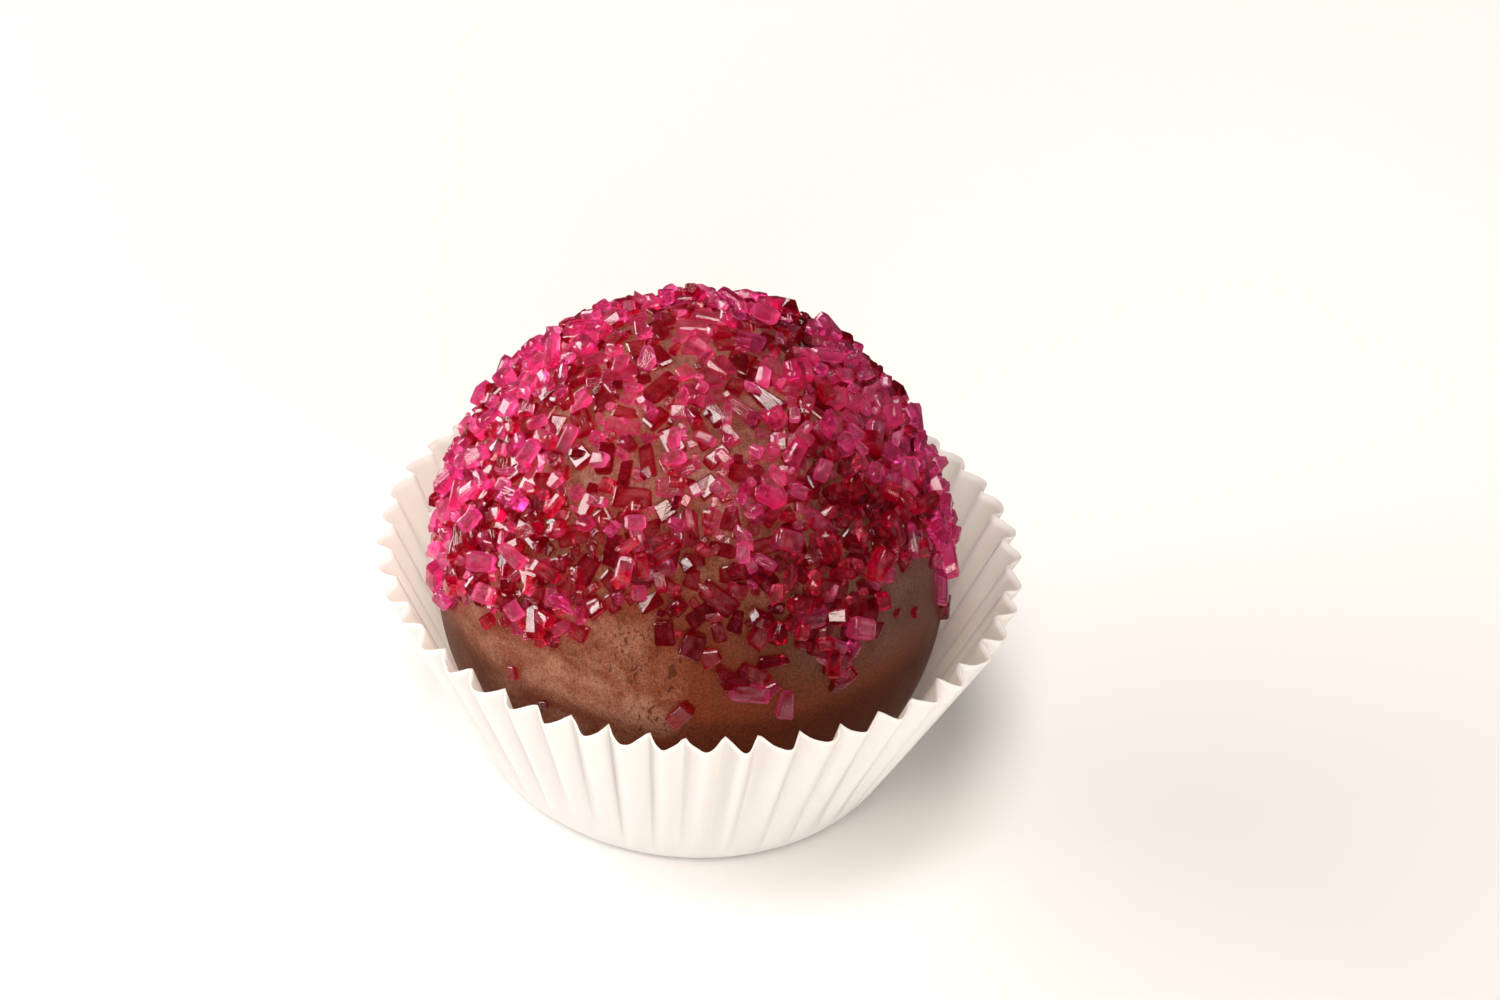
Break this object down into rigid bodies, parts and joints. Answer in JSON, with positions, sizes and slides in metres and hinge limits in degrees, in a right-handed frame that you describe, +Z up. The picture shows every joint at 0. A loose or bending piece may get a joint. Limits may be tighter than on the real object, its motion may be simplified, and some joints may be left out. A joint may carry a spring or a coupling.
{
  "type": "chocolate truffle in a paper case",
  "caption": "Round chocolate truffle with a cap of coarse pink sugar, sitting in a fluted white paper case.",
  "frame": {"origin": "centre of the paper case's underside, on the surface it stands on", "axes": "+Z up, +X along the long way of the case's slightly oval rim, -Y towards the side with the bare band of chocolate"},
  "size_m": [0.039, 0.0362, 0.0293],
  "materials": {
    "paper": "thin white greaseproof paper, pleated, slightly translucent",
    "chocolate": "milk chocolate coating, satin with a dusty bloom and tiny air pits",
    "sugar": "coarse translucent pink to ruby sugar crystals with glossy flat faces"
  },
  "bodies": {
    "root": {"paper_case": "paper", "truffle": "chocolate"}
  },
  "joints": []
}
